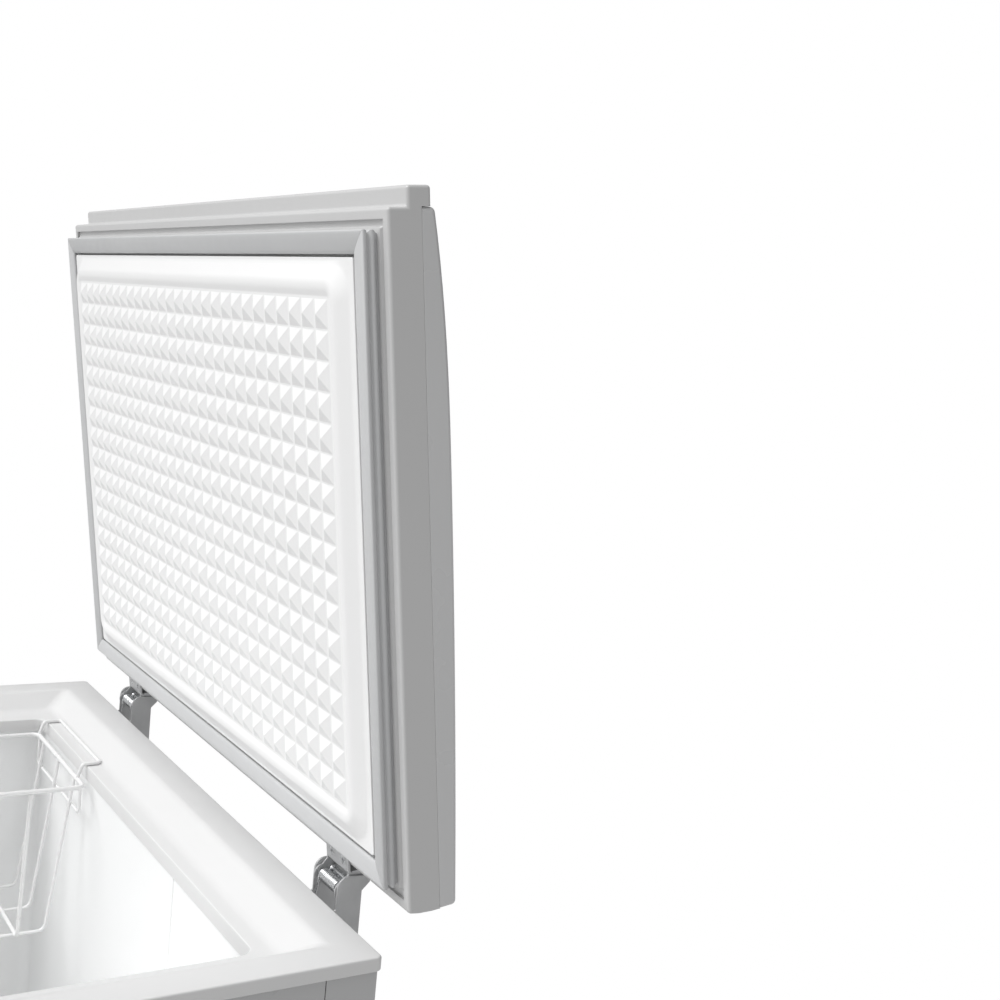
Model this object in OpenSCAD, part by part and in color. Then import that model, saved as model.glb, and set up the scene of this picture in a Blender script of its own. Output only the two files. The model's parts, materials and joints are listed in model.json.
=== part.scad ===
// Chest freezer with a hinged, counterbalanced lid and a hanging wire basket.
// Millimetres, +Z up, front of the freezer towards -Y, hinges towards +Y.
// Every module is drawn with y = 0 at the back edge of the collar and x = 0 at the middle of
// the length. at_cabinet() and on_lid() then put it in the part's own frame, whose origin is
// under the middle of the open freezer's outline.

/* [Cabinet] */
// Length of the cabinet over its collar
body_len = 825; // [760:5:900]
// Depth of the cabinet over its collar
body_depth = 548; // [520:1:600]
// Height of the collar's top above the floor
body_top = 788; // [740:1:860]
// Thickness of the insulated walls at the liner
wall = 72.8; // [66:0.2:80]
// Height of the liner's floor above the ground
floor_z = 85; // [75:1:110]
// Corner radius of the outer shell
shell_r = 12; // [6:1:20]
// Thickness of the sheet metal shells
sheet = 1; // [0.8:0.1:1.2]

/* [Collar] */
// Height of the collar's outer lip
lip_h = 12; // [10:1:16]
// How far the collar stands proud of the side panels
collar_over = 5; // [3:0.5:6]
// Width of the collar's flat sealing band
band_w = 34; // [30:1:38]
// Width of the collar from its outer edge to the opening
collar_w = 74.6; // [72:0.1:76]
// Drop of the collar's sloped inner band, down to its ledge
slope_h = 18; // [14:1:20]
// Distance of the ledge's outer side from the collar's outer edge
ledge_in = 58; // [54:1:62]
// Extra width of the ledge at the basket's end
ledge_extra = 15.9; // [0:0.1:16]
// Height of the collar's inner skirt
skirt_h = 15; // [12:1:20]

/* [Compressor bay] */
// Length of the raised step inside the liner
hump_len = 150; // [130:5:170]
// Height of the raised step above the liner's floor
hump_h = 190; // [170:5:210]
// Height of the feet
foot_h = 25; // [18:1:30]

/* [Lid] */
// Opening angle at which the lid is drawn
lid_open = 82.5; // [0:0.5:85]
// Length of the lid
lid_len = 816; // [800:1:830]
// Depth of the lid without its grip
lid_depth = 545.6; // [540:0.2:550]
// How far the grip stands out in front of the lid
grip_w = 15.4; // [12:0.2:18]
// Height of the lid's side wall above its lower edge
lid_side_h = 28; // [24:1:30]
// Rise of the lid's top from the side wall to its highest line
crown_h = 21.2; // [16:0.2:24]
// Length of the gasket over its outer edges
gasket_len = 786.8; // [780:0.2:790]
// Depth of the gasket over its outer edges
gasket_depth = 508.9; // [500:0.1:512]
// Width of the gasket's face
gasket_w = 17.7; // [15:0.1:20]
// Height of the gasket
gasket_h = 14; // [12:0.5:16]

/* [Embossing] */
// Number of pyramids along the lid liner
pyramid_cols = 27; // [20:1:27]
// Number of pyramids across the lid liner
pyramid_rows = 17; // [12:1:17]
// Spacing of the pyramids along the lid
pitch_x = 25; // [23:0.5:25]
// Spacing of the pyramids across the lid
pitch_y = 24; // [22:0.5:24]
// Height of one pyramid
pyramid_h = 5; // [3:0.5:5]

/* [Hinges] */
// Distance of each hinge from the middle of the length
hinge_x = 282; // [240:1:300]
// Width of a hinge over its outer cheeks
hinge_w = 48; // [44:1:52]
// Distance of the pivot behind the collar's back edge
pivot_back = 16.8; // [16:0.1:18]
// Height of the pivot above the collar's top
pivot_up = 6.9; // [6:0.1:8]
// Radius of the pivot pins
pin_r = 4; // [3.5:0.1:4.5]

/* [Basket] */
// Width of the basket's rim along the freezer
basket_w = 193; // [170:1:220]
// Distance of the basket's far rim from the middle of the length
basket_far = 306; // [260:1:320]
// Depth of the basket below its rim
basket_h = 172; // [140:1:200]
// Radius of the rim wire
rim_r = 2.5; // [2:0.1:3]
// Radius of the thin wires
wire_r = 1.7; // [1.4:0.1:2]

/* [Hidden] */
$fn = 48;

white = "#f3f4f4";
bright_white = "#fafafa";
steel = "#9a9c9e";
zinc = "#c3c5c6";
copper = "#b8734a";
black = "#2b2c2e";
foam_tan = "#e8dcb5";
eps = 0.01;

// Cabinet, worked out from the driving dimensions
half = body_len / 2;
panel_x = half - collar_over;
panel_front = -body_depth + collar_over;
panel_back = -2;
seam_y = panel_back - 43;
seam_gap = 0.8;
shell_top = body_top - 4;
bay_x = half - wall - hump_len + 45;
bay_top = floor_z + hump_h - 45;
liner_t = 1;
hump_z = floor_z + hump_h;
opening_r = 14;

// Lid, in the closed position; lid_z is the height of the gasket's face
lid_z = body_top + 0.3;
lid_back = -0.8;
lid_front = lid_back - lid_depth;
frame_z = lid_z + gasket_h;
side_top = frame_z + lid_side_h;
crown_back = 5.7;
crown_front = 9.5;
crown_line = lid_back - 345;
gasket_y = -22 - gasket_depth / 2;
skin = 1.2;
pivot_z = body_top + pivot_up;

// The open lid's lowest back corner sets how far the part reaches backwards
lid_back_top = side_top + crown_h - crown_back;
reach_back = pivot_back + (lid_back - pivot_back) * cos(lid_open)
    + (lid_back_top - pivot_z) * sin(lid_open);
y_back = (body_depth - reach_back) / 2;

// Pyramid field
pyramid_side = 22.5;
field_x = pyramid_cols * pitch_x / 2;
field_y = pyramid_rows * pitch_y / 2;
plateau_z = lid_z - 4.5;
recess_z = lid_z - 2.5;
flange_z = lid_z + 3;

// Basket, from its rim down
basket_near = -basket_far + basket_w;
rim_z = body_top - 32;
basket_back = -84;
basket_front = -body_depth - basket_back;
basket_z = rim_z - basket_h;
taper_x = 24;
taper_y = 23;

// Compressor
comp_x = 322;
comp_y = -170;
comp_z = foot_h + 22;

module at_cabinet() translate([0, y_back, 0]) children();

module on_lid()
    at_cabinet()
        translate([0, pivot_back, pivot_z]) rotate([-lid_open, 0, 0])
            translate([0, -pivot_back, -pivot_z]) children();

module box(x0, x1, y0, y1, z0, z1)
    translate([x0, y0, z0]) cube([x1 - x0, y1 - y0, z1 - z0]);

// Rounded rectangle with true arcs
module rounded(x0, x1, y0, y1, r) {
    translate([x0 + r, y0]) square([x1 - x0 - 2 * r, y1 - y0]);
    translate([x0, y0 + r]) square([x1 - x0, y1 - y0 - 2 * r]);
    for (x = [x0 + r, x1 - r], y = [y0 + r, y1 - r])
        translate([x, y]) circle(r);
}

// The cabinet's outline, s inside the collar's outer edge
module inset(s, r) rounded(-half + s, half - s, -body_depth + s, -s, r);

// Rectangular funnel or tub between two heights, centred on x = 0 and y = 0
module frustum(x0, y0, z0, x1, y1, z1) {
    reach = 2 * max(x0, x1, y0, y1) + 2;
    intersection() {
        rotate([90, 0, 0]) linear_extrude(reach, center = true)
            polygon([[-x0, z0], [x0, z0], [x1, z1], [-x1, z1]]);
        rotate([90, 0, 90]) linear_extrude(reach, center = true)
            polygon([[-y0, z0], [y0, z0], [y1, z1], [-y1, z1]]);
    }
}

// Profile in y and z, extruded along x
module along_x(x0, x1)
    translate([x0, 0, 0]) rotate([90, 0, 90]) linear_extrude(x1 - x0) children();

module rod(p, q, r) {
    d = q - p;
    length = norm(d);
    translate(p) rotate([0, acos(d[2] / length), atan2(d[1], d[0])])
        cylinder(h = length, r = r, $fn = 24);
}

function unit(v) = v / norm(v);

// Bent wire or tube of radius r through a list of points, with bends of radius bend.
// A bend is a hair thicker than the straight runs, whose ends reach into it.
swell = 0.06;
reach_in = 0.6;

module wire(points, r, bend) {
    last = len(points) - 1;
    run = [for (i = [0 : last - 1]) unit(points[i + 1] - points[i])];
    half_turn = [for (i = [0 : last]) i == 0 || i == last ? 0 : acos(run[i - 1] * run[i]) / 2];
    for (i = [0 : last - 1])
        rod(points[i] + run[i] * (i == 0 ? 0 : bend * tan(half_turn[i]) - reach_in),
            points[i + 1] - run[i] * (i == last - 1 ? 0 : bend * tan(half_turn[i + 1]) - reach_in), r);
    for (i = [1 : last - 1]) {
        middle = points[i] + unit(run[i] - run[i - 1]) * bend / cos(half_turn[i]);
        x = unit(points[i] - run[i - 1] * bend * tan(half_turn[i]) - middle);
        z = unit(cross(run[i - 1], run[i]));
        multmatrix([[x[0], run[i - 1][0], z[0], middle[0]], [x[1], run[i - 1][1], z[1], middle[1]],
                    [x[2], run[i - 1][2], z[2], middle[2]], [0, 0, 0, 1]])
            rotate_extrude(angle = 2 * half_turn[i], $fn = 48) translate([bend, 0]) circle(r + swell, $fn = 24);
    }
}

// Pan-head screw pointing down -z, its head's underside at z = 0
module screw(r, length, head_r, head_h) {
    translate([0, 0, -length]) cylinder(h = length, r = r);
    difference() {
        cylinder(h = head_h, r = head_r);
        for (a = [0, 90]) rotate([0, 0, a])
            translate([-head_r * 0.6, -0.5, head_h - 1]) cube([head_r * 1.2, 1, 1 + eps]);
    }
}

// ---------------------------------------------------------------- cabinet shell

vent = [-452, -312, 60, 170];
cover = [262, 396, 44, 214];
bezel = [238, 398, 92, 162];

module outer_wrap() at_cabinet() color(white) difference() {
    linear_extrude(shell_top - foot_h) translate([0, 0]) difference() {
        rounded(-panel_x, panel_x, panel_front, 20, shell_r);
        rounded(-panel_x + sheet, panel_x - sheet, panel_front + sheet, 21, shell_r - sheet);
        translate([-half, seam_y - seam_gap]) square([body_len, 100]);
    }
}

module shell_cuts() at_cabinet() {
    box(panel_x - 5, half, vent[0], vent[1], vent[2], vent[3]);
    box(bezel[0] + 6, bezel[1] - 6, panel_front - 1, panel_front + 5, bezel[2] + 6, bezel[3] - 6);
    translate([drain_x, panel_front + 5, drain_z]) rotate([90, 0, 0]) cylinder(h = 10, r = 9);
}

module wrap() difference() {
    translate([0, 0, foot_h]) outer_wrap();
    shell_cuts();
}

module rear_panel() at_cabinet() color(white) difference() {
    translate([0, 0, foot_h]) linear_extrude(shell_top - foot_h) {
        translate([-panel_x, panel_back - sheet]) square([2 * panel_x, sheet]);
        for (x = [-panel_x, panel_x - sheet])
            translate([x, seam_y]) square([sheet, -seam_y + panel_back]);
    }
    box(cover[0] + 8, cover[1] - 8, -10, 0, cover[2] + 8, cover[3] - 8);
    for (x = [cover[0] + 4, cover[1] - 4], z = [cover[2] + 4, cover[3] - 4])
        translate([x, 0, z]) rotate([90, 0, 0]) cylinder(h = 10, r = 1.6);
    translate([gland_x, 0, gland_z]) rotate([90, 0, 0]) cylinder(h = 10, r = 7);
    for (s = [-1, 1]) translate([s * hinge_x, 0, 0]) hinge_screw_places()
        rotate([90, 0, 0]) cylinder(h = 10, r = 2.5);
}

module base_pan() at_cabinet() color(zinc) difference() {
    translate([0, 0, foot_h]) linear_extrude(sheet)
        rounded(-panel_x + sheet, panel_x - sheet, panel_front + sheet, panel_back - sheet, shell_r - sheet);
    foot_places() translate([0, 0, foot_h - 1]) cylinder(h = 5, r = 2.5);
    comp_foot_places() translate([0, 0, foot_h - 1]) cylinder(h = 5, r = 3);
}

// Foam between the shells; pockets hold the two coils, the hinge plates and the drain
module body_foam() at_cabinet() color(foam_tan) difference() {
    union() {
        translate([0, 0, foot_h + sheet]) linear_extrude(body_top - lip_h - foot_h - sheet)
            rounded(-panel_x + sheet, panel_x - sheet, panel_front + sheet, panel_back - sheet, shell_r - sheet);
        collar_pocket();
    }
    liner_block(liner_t);
    slope_ring(eps);
    box(bay_x, half, -body_depth, 0, 0, bay_top);
    evaporator_pocket();
    condenser_pocket();
    for (s = [-1, 1]) translate([s * hinge_x, 0, 0]) hinge_plate_block();
    drain_block(drain_outer);
}

// The liner's inside, grown outwards by g
module liner_block(g) difference() {
    translate([0, 0, floor_z - g]) linear_extrude(body_top)
        inset(wall - g, opening_r + g);
    box(half - wall - hump_len + g, half, -body_depth, 0, 0, hump_z - g);
}

module liner() at_cabinet() color(bright_white) difference() {
    intersection() {
        liner_block(liner_t);
        translate([0, 0, floor_z - liner_t])
            linear_extrude(body_top - slope_h - 4 - floor_z + liner_t) inset(10, 5);
    }
    liner_block(0);
    translate([drain_x, drain_in_y, floor_z - 5]) cylinder(h = 10, r = drain_bore);
}

// ---------------------------------------------------------------- collar

module collar_funnel()
    translate([0, -body_depth / 2, body_top])
        frustum(half - ledge_in, body_depth / 2 - ledge_in, -slope_h,
                half - band_w, body_depth / 2 - band_w, 0);

ring_in = 44;

// Thick inner part of the collar, which carries the slope and the ledge; grown by g
module slope_ring(g)
    translate([0, 0, body_top - slope_h - 4 - g]) linear_extrude(slope_h + 3 + g)
        inset(ring_in - g, opening_r + 4);

// The hollow under the collar, which the foam fills
module collar_pocket() difference() {
    translate([0, 0, body_top - lip_h - eps]) linear_extrude(lip_h - 3) inset(8, 8);
    translate([0, 0, body_top - 40]) linear_extrude(50) inset(band_w - 2, 5);
}

module collar() at_cabinet() color(white) difference() {
    union() {
        translate([0, 0, body_top - lip_h]) linear_extrude(lip_h) inset(0, 5);
        translate([0, 0, body_top - slope_h - skirt_h]) linear_extrude(slope_h + skirt_h - 1)
            inset(wall + 0.2, opening_r);
        slope_ring(0);
    }
    translate([0, 0, body_top - 60]) linear_extrude(80)
        rounded(-half + collar_w + ledge_extra, half - collar_w, -body_depth + collar_w, -collar_w, opening_r - 2);
    collar_funnel();
    translate([0, 0, eps]) collar_pocket();
    collar_edge_slots();
}

// Slots in the collar's underside that take the upper edges of the shells
module collar_edge_slots()
    translate([0, 0, body_top - lip_h - 1]) linear_extrude(shell_top - body_top + lip_h + 1 + eps) {
        difference() {
            rounded(-panel_x - 0.1, panel_x + 0.1, panel_front - 0.1, 20, shell_r);
            rounded(-panel_x + 1.1, panel_x - 1.1, panel_front + 1.1, 21, shell_r - 1.1);
            translate([-half, panel_back + 0.1]) square([body_len, 60]);
        }
        translate([-panel_x, panel_back - sheet - 0.1]) square([2 * panel_x, sheet + 0.2]);
    }

// ---------------------------------------------------------------- refrigeration

// Zigzag of tube in a plane: runs along x, stacked along z
module zigzag(x0, x1, z0, runs, gap, r) {
    for (i = [0 : runs - 1]) translate([x0, 0, z0 + i * gap]) rotate([0, 90, 0])
        cylinder(h = x1 - x0, r = r, $fn = 24);
    for (i = [0 : runs - 2])
        translate([i % 2 == 0 ? x1 : x0, 0, z0 + (i + 0.5) * gap])
            rotate([90, i % 2 == 0 ? 0 : 180, 0]) rotate([0, 0, -90])
                rotate_extrude(angle = 180, $fn = 24) translate([gap / 2, 0]) circle(r, $fn = 24);
}

cond_r = 2.4;
cond_y = panel_front + sheet + cond_r + 0.2;
cond_x = 300;

module condenser_coil() at_cabinet() color(copper) {
    translate([0, cond_y, 0]) zigzag(-362, 362, 300, 8, 60, cond_r);
    translate([cond_x, cond_y, bay_top - 40]) cylinder(h = 300 - bay_top + 40, r = cond_r, $fn = 24);
}

module condenser_pocket() {
    box(-398, 398, -body_depth, panel_front + sheet + 2 * cond_r + 0.6, 290, 730);
    box(cond_x - 8, cond_x + 8, -body_depth, panel_front + sheet + 2 * cond_r + 0.6, bay_top - 1, 300);
}

evap_r = 4;
evap_in = wall - liner_t - evap_r - 0.3;
evap_turns = 7;
evap_gap = 58;
evap_z = hump_z + 50;
evap_bend = opening_r + 6;

// One turn of tube around the liner
module evaporator_turn() {
    x = half - evap_in - evap_bend;
    y0 = -body_depth + evap_in + evap_bend;
    y1 = -evap_in - evap_bend;
    for (y = [y0 - evap_bend, y1 + evap_bend]) translate([-x, y, 0]) rotate([0, 90, 0])
        cylinder(h = 2 * x, r = evap_r, $fn = 24);
    for (s = [-1, 1]) translate([s * (x + evap_bend), y0, 0]) rotate([-90, 0, 0])
        cylinder(h = y1 - y0, r = evap_r, $fn = 24);
    for (c = [[x, y1, 0], [-x, y1, 90], [-x, y0, 180], [x, y0, 270]])
        translate([c[0], c[1], 0]) rotate([0, 0, c[2]]) rotate_extrude(angle = 90, $fn = 24)
            translate([evap_bend, 0]) circle(evap_r, $fn = 24);
}

evap_out = [half - evap_in, -300];

module evaporator_coil() at_cabinet() color(zinc) {
    for (i = [0 : evap_turns - 1]) translate([0, 0, evap_z + i * evap_gap]) evaporator_turn();
    translate([evap_out[0], evap_out[1], bay_top - 30])
        cylinder(h = evap_z - bay_top + 30 + (evap_turns - 1) * evap_gap, r = evap_r, $fn = 24);
}

module evaporator_pocket() {
    translate([0, 0, evap_z - 8]) linear_extrude((evap_turns - 1) * evap_gap + 16)
        inset(evap_in - evap_r - 0.5, evap_bend);
    translate([evap_out[0], evap_out[1], 0]) cylinder(h = evap_z, r = evap_r + 1);
}

module comp_foot_places()
    for (x = [comp_x - 60, comp_x + 60], y = [comp_y - 75, comp_y + 75])
        translate([x, y, 0]) children();

module compressor_shell() at_cabinet() color(black)
    translate([comp_x, comp_y, comp_z]) rotate_extrude($fn = 64)
        polygon(concat([[0, 0]],
            [for (a = [-90 : 15 : 0]) [42 + 24 * cos(a), 24 + 24 * sin(a)]],
            [[66, 62], [69, 62], [69, 68], [66, 68]],
            [for (a = [0 : 15 : 90]) [30 + 36 * cos(a), 104 + 36 * sin(a)]],
            [[0, 140]]));

module compressor_feet() at_cabinet() color(black) difference() {
    translate([0, 0, comp_z - 3]) linear_extrude(3)
        rounded(comp_x - 72, comp_x + 72, comp_y - 88, comp_y + 88, 12);
    comp_foot_places() translate([0, 0, comp_z - 5]) cylinder(h = 10, r = 8);
}

module compressor_grommets() at_cabinet() color("#3a3a3c") comp_foot_places() difference() {
    union() {
        translate([0, 0, foot_h + sheet]) cylinder(h = comp_z - 3 - foot_h - sheet, r = 12);
        translate([0, 0, comp_z - 3]) cylinder(h = 3, r = 7.9);
        translate([0, 0, comp_z]) cylinder(h = 3, r = 11);
    }
    cylinder(h = 100, r = 3.2);
}

module compressor_bolts() at_cabinet() color(zinc) comp_foot_places() {
    translate([0, 0, foot_h - 3]) cylinder(h = comp_z + 12 - foot_h + 3, r = 2.9);
    translate([0, 0, foot_h - 3]) cylinder(h = 3, r = 6);
    translate([0, 0, comp_z + 3]) cylinder(h = 5, r = 7, $fn = 6);
}

module terminal_cover() at_cabinet() color("#1d1e20") difference() {
    translate([0, 0, comp_z + 30]) linear_extrude(52)
        rounded(comp_x - 28, comp_x + 28, comp_y - 96, comp_y - 60, 6);
    translate([comp_x, comp_y, comp_z + 20]) cylinder(h = 80, r = 69.5);
}

drier = [260, -440, 90];

module filter_drier() at_cabinet() color(copper)
    translate(drier) rotate_extrude($fn = 32)
        polygon([[0, 0], [3, 0], [3, 8], [9, 16], [9, 84], [3, 92], [3, 100], [0, 100]]);

module refrigerant_pipes() at_cabinet() color(copper) {
    // Discharge, from the compressor's dome to the condenser's lower end
    wire([[comp_x - 19, comp_y - 19, comp_z + 138.5], [comp_x - 19, comp_y - 19, 200],
          [cond_x, -490, 200], [cond_x, -515, 170], [cond_x, cond_y, 170],
          [cond_x, cond_y, bay_top - 40 - 0.1]], 2.4, 8);
    // Suction, from the evaporator's lower end to the compressor's side
    wire([[evap_out[0], evap_out[1], bay_top - 30 - 0.1], [evap_out[0], evap_out[1], 143],
          [comp_x + 20, comp_y - 61.5, 143]], 3.5, 8);
    // Through the filter drier: down from the condenser, and on as a capillary tube
    rod([drier[0], drier[1], drier[2] + 100.1], [drier[0], drier[1], bay_top - 0.1], 2.4);
    wire([[drier[0], drier[1], drier[2] - 0.1], [drier[0], drier[1], 66], [354, -312, 66],
          [354, -312, bay_top - 0.1]], 1.2, 6);
}

// ---------------------------------------------------------------- bay covers, feet, controls

// Louvred grille over the compressor bay, in the right-hand side panel
module side_grille() at_cabinet() color(white) difference() {
    box(panel_x, panel_x + 3, vent[0] - 8, vent[1] + 8, vent[2] - 8, vent[3] + 8);
    for (i = [0 : 6]) box(panel_x - 1, panel_x + 5, vent[0] + 4, vent[1] - 4,
                          vent[2] + 5 + i * 15, vent[2] + 14 + i * 15);
}

module bay_cover() at_cabinet() color(zinc) difference() {
    box(cover[0], cover[1], panel_back, panel_back + 1.5, cover[2], cover[3]);
    for (i = [0 : 8]) box(cover[0] + 16, cover[1] - 16, -10, 10,
                          cover[2] + 22 + i * 15, cover[2] + 29 + i * 15);
    for (x = [cover[0] + 4, cover[1] - 4], z = [cover[2] + 4, cover[3] - 4])
        translate([x, 5, z]) rotate([90, 0, 0]) cylinder(h = 20, r = 1.8);
}

module cover_screws() at_cabinet() color(zinc)
    for (x = [cover[0] + 4, cover[1] - 4], z = [cover[2] + 4, cover[3] - 4])
        translate([x, panel_back + 1.5, z]) rotate([-90, 0, 0]) screw(1.6, 9, 3.4, 2);

module foot_places()
    for (x = [-panel_x + 45, panel_x - 45], y = [panel_front + 45, panel_back - 45])
        translate([x, y, 0]) children();

module feet() at_cabinet() color(black) foot_places() difference() {
    rotate_extrude() polygon([[0, 0], [19, 0], [22, 3], [22, foot_h - 4], [24, foot_h], [0, foot_h]]);
    translate([0, 0, -1]) cylinder(h = 11, r = 8);
    cylinder(h = 100, r = 2.2);
}

module foot_screws() at_cabinet() color(zinc) foot_places()
    translate([0, 0, 10]) rotate([180, 0, 0]) screw(2.2, foot_h - 10 + sheet, 5, 3);

knob_x = 360;
knob_z = 127;
well_y = panel_front + 16;
lamp_x = [262, 284, 306];

module control_bezel() at_cabinet() color("#e6e8e9") difference() {
    union() {
        translate([0, panel_front, 0]) rotate([90, 0, 0]) linear_extrude(3)
            rounded(bezel[0], bezel[1], bezel[2], bezel[3], 8);
        box(bezel[0] + 7, bezel[1] - 7, panel_front, panel_front + 6, bezel[2] + 7, bezel[3] - 7);
        translate([knob_x, panel_front, knob_z]) rotate([-90, 0, 0]) cylinder(h = 18, r = 27);
    }
    translate([knob_x, panel_front - 5, knob_z]) rotate([-90, 0, 0]) cylinder(h = 21, r = 24);
    translate([knob_x, panel_front - 5, knob_z]) rotate([-90, 0, 0]) cylinder(h = 40, r = 5);
    for (x = lamp_x) translate([x, panel_front + 10, knob_z]) rotate([90, 0, 0]) cylinder(h = 20, r = 4.1);
}

module indicator_lenses() at_cabinet() color("#3aa655")
    for (x = lamp_x) translate([x, panel_front + 6, knob_z]) rotate([90, 0, 0]) {
        cylinder(h = 10, r = 4.1);
        translate([0, 0, -2]) cylinder(h = 2, r = 5.2);
    }

module thermostat() at_cabinet() color(zinc) {
    box(knob_x - 22, knob_x + 22, well_y + 2, well_y + 32, knob_z - 18, knob_z + 18);
    translate([knob_x, well_y + 2, knob_z]) rotate([90, 0, 0]) cylinder(h = 2, r = 4.8);
}

// Turns on the thermostat's spindle, which is moulded to it; drawn pointing at its lowest setting
module thermostat_knob() at_cabinet() color("#dfe1e2") translate([knob_x, well_y - 0.3, knob_z])
    rotate([90, 0, 0]) difference() {
        union() {
            cylinder(h = 4, r = 22);
            cylinder(h = 14, r = 19);
            translate([0, 0, 14]) rotate([0, 0, 35]) translate([-3, -18, 0]) cube([6, 36, 4]);
        }
        rotate([0, 0, 35]) translate([-0.8, 8, 17]) cube([1.6, 9, 2]);
    }

// ---------------------------------------------------------------- drain

drain_x = -300;
drain_in_y = -430;
drain_z = 55;
drain_outer = 9;
drain_bore = 7;

module drain_block(r) {
    translate([drain_x, drain_in_y, drain_z]) cylinder(h = floor_z - liner_t - drain_z, r = r);
    translate([drain_x, drain_in_y, drain_z]) sphere(r);
    translate([drain_x, drain_in_y, drain_z]) rotate([90, 0, 0])
        cylinder(h = -panel_front + drain_in_y, r = r);
}

module drain_tube() at_cabinet() color(white) difference() {
    drain_block(drain_outer - 0.1);
    drain_block(drain_bore);
    translate([drain_x, panel_front + 1, drain_z]) rotate([90, 0, 0]) cylinder(h = 5, r = drain_bore);
    translate([drain_x, drain_in_y, drain_z]) cylinder(h = 60, r = drain_bore);
}

module drain_cap() at_cabinet() color("#d9dbdc") translate([drain_x, panel_front - 0.2, drain_z])
    rotate([90, 0, 0]) {
        cylinder(h = 4, r = 14);
        translate([0, 0, -14]) cylinder(h = 14, r = drain_bore - 0.3);
    }

module drain_stopper() at_cabinet() color("#d9dbdc") translate([drain_x, drain_in_y, floor_z + 0.2]) {
    cylinder(h = 4, r = 15);
    translate([0, 0, -12]) cylinder(h = 12, r = drain_bore - 0.3);
    translate([0, 0, 4]) cylinder(h = 6, r = 4);
}

gland_x = 246;
gland_z = 62;

module cord_gland() at_cabinet() color(black) translate([gland_x, panel_back, gland_z])
    rotate([90, 0, 0]) difference() {
        union() {
            translate([0, 0, -1.8]) cylinder(h = 1.8, r = 11);
            cylinder(h = sheet, r = 7);
            translate([0, 0, sheet]) cylinder(h = 4, r = 10);
        }
        translate([0, 0, -5]) cylinder(h = 20, r = 3.8);
    }

// ---------------------------------------------------------------- hinges

cheek = 2;
pin_reach = hinge_w / 2 - 0.8;
arm_x = hinge_w / 2 - cheek - 0.5;
leaf_h = 105;
stop_pin = [14.9, 16.4];

module hinge_screw_places()
    for (x = [-14, 14], z = [body_top - 105, body_top - 40]) translate([x, 0, z]) children();

module hinge_plate_block()
    box(-30, 30, panel_back - sheet - 3, panel_back - sheet, body_top - 125, body_top - 20);

module hinge_plates() at_cabinet() color(zinc) for (s = [-1, 1]) translate([s * hinge_x, 0, 0])
    difference() {
        hinge_plate_block();
        hinge_screw_places() rotate([90, 0, 0]) cylinder(h = 20, r = 2.5);
    }

// Outline of a fixed cheek: a foot against the back panel and a rounded ear round the pivot
module cheek_outline() translate([0, body_top]) {
    polygon([[panel_back, -125], [panel_back, -17], [10, -8], [10, 10], [20, 20], [40, 19],
             [40, 13], [33, 6], [33, -92], [22, -125]]);
    translate([20, 10]) circle(10);
}

module hinge_lower() color(steel) difference() {
    union() {
        box(-hinge_w / 2, hinge_w / 2, panel_back, panel_back + cheek, body_top - 125, body_top - 17);
        for (s = [-1, 1]) along_x(s * (hinge_w / 2 - cheek / 2) - cheek / 2,
                                  s * (hinge_w / 2 - cheek / 2) + cheek / 2) cheek_outline();
    }
    along_x(-pin_reach, pin_reach) translate([pivot_back, pivot_z]) circle(pin_r);
    hinge_screw_places() translate([0, 5, 0]) rotate([90, 0, 0]) cylinder(h = 20, r = 2.7);
}

module hinge_lower_left() at_cabinet() translate([-hinge_x, 0, 0]) hinge_lower();

module hinge_lower_right() at_cabinet() translate([hinge_x, 0, 0]) hinge_lower();

module hinge_lower_screws() at_cabinet() color(zinc) for (s = [-1, 1])
    translate([s * hinge_x, 0, 0]) hinge_screw_places()
        translate([0, panel_back + cheek, 0]) rotate([-90, 0, 0])
            screw(2.5, cheek + sheet + 3, 4.8, 3);

// Each pivot pin sits in two blind holes, so the cheeks are plain outside
module hinge_pins() at_cabinet() color(zinc) for (s = [-1, 1])
    translate([s * hinge_x - pin_reach, pivot_back, pivot_z]) rotate([0, 90, 0])
        cylinder(h = 2 * pin_reach, r = pin_r);

// Torsion spring coiled round each pivot pin
coil_r = 5.25;
coil_wire = 1.1;
coil_turns = 14;

module hinge_springs() at_cabinet() color(zinc) for (s = [-1, 1])
    translate([s * hinge_x, pivot_back, pivot_z]) rotate([0, 90, 0])
        rotate_extrude($fn = 32) for (i = [0 : coil_turns - 1])
            translate([coil_r, (i - (coil_turns - 1) / 2) * 2 * coil_wire])
                circle(coil_wire + 0.05, $fn = 16);

// Moving hinge arm: a plate under the lid's back edge and two ears round the pivot
module arm_outline() {
    polygon([[-20, frame_z - 2], [-20, frame_z], [1, frame_z], [11, body_top + 21.5],
             [18, body_top + 21.5], [pivot_back + 8, pivot_z], [pivot_back - 8, pivot_z],
             [4, frame_z - 2]]);
    translate([pivot_back, pivot_z]) circle(8);
    translate([stop_pin[0], body_top + stop_pin[1]]) circle(6);
}

// The arm's web, folded over its back edge between the two ears
web_top = body_top + 21.5;

module web_outline() polygon([[0, frame_z - 2], [0, frame_z], [1, frame_z], [11, web_top], [18, web_top],
                              [18, web_top - 2], [11.6, web_top - 2], [2, frame_z - 1.75], [2, frame_z - 2]]);

// Countersunk, so the screws lie flush with the plate
module flush_screw(grow) {
    cylinder(h = 5, r = 2.2);
    cylinder(h = 1.8, r1 = 4 + grow, r2 = 2.2 + grow);
}

module hinge_upper_screw_places()
    for (x = [-11, 11], y = [-15, -6]) translate([x, y, frame_z - 2]) children();

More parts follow.
